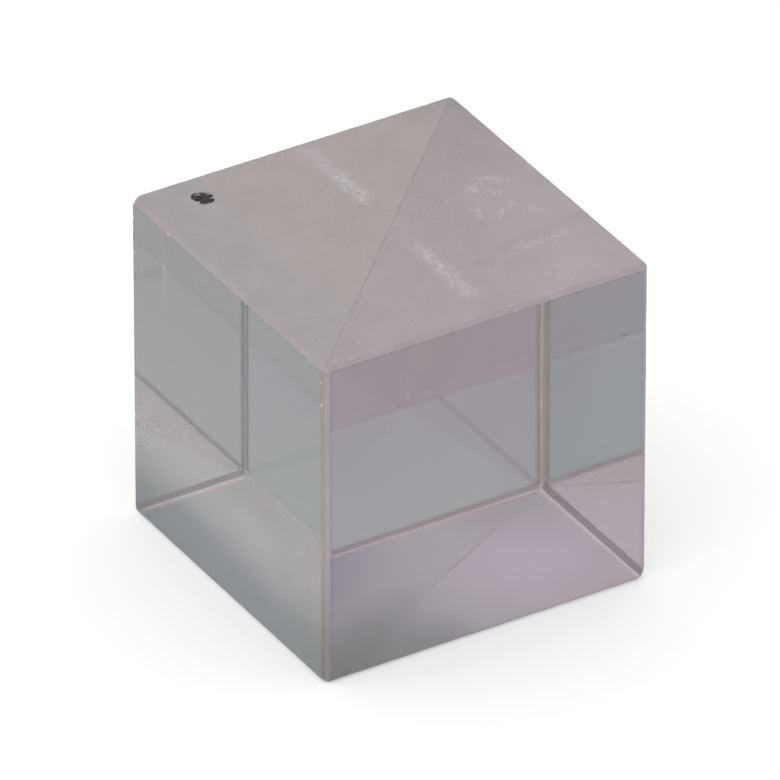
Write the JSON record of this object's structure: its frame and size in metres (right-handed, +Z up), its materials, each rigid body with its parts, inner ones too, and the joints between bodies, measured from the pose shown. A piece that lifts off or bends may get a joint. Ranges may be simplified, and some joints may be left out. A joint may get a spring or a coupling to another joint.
{
  "type": "beamsplitter cube",
  "caption": "Cemented glass cube of two right-angle prisms with a half-reflecting coated joint, ground top and bottom, four polished faces and an ink index mark.",
  "frame": {"origin": "centre of the ground bottom face", "axes": "+Z up, from the ground bottom face to the ground top face; +X, -X, +Y and -Y out of the four polished faces; the joint stands on the plane X = Y, with the coated prism on its +Y side"},
  "size_m": [0.0254, 0.0254, 0.025],
  "materials": {
    "coated_prism": "polished and coated side faces, finely ground top, bottom and bevels, faintly grey-green",
    "plain_prism": "polished and coated side faces, finely ground top, bottom and bevels, faintly pink",
    "splitter_coating": "half-reflecting dielectric film",
    "cement_layer": "clear optical cement, faintly yellow",
    "index_mark": "dried brown-black pen ink"
  },
  "bodies": {
    "root": {"coated_prism": "coated_prism", "plain_prism": "plain_prism", "splitter_coating": "splitter_coating", "cement_layer": "cement_layer", "index_mark": "index_mark"}
  },
  "joints": []
}
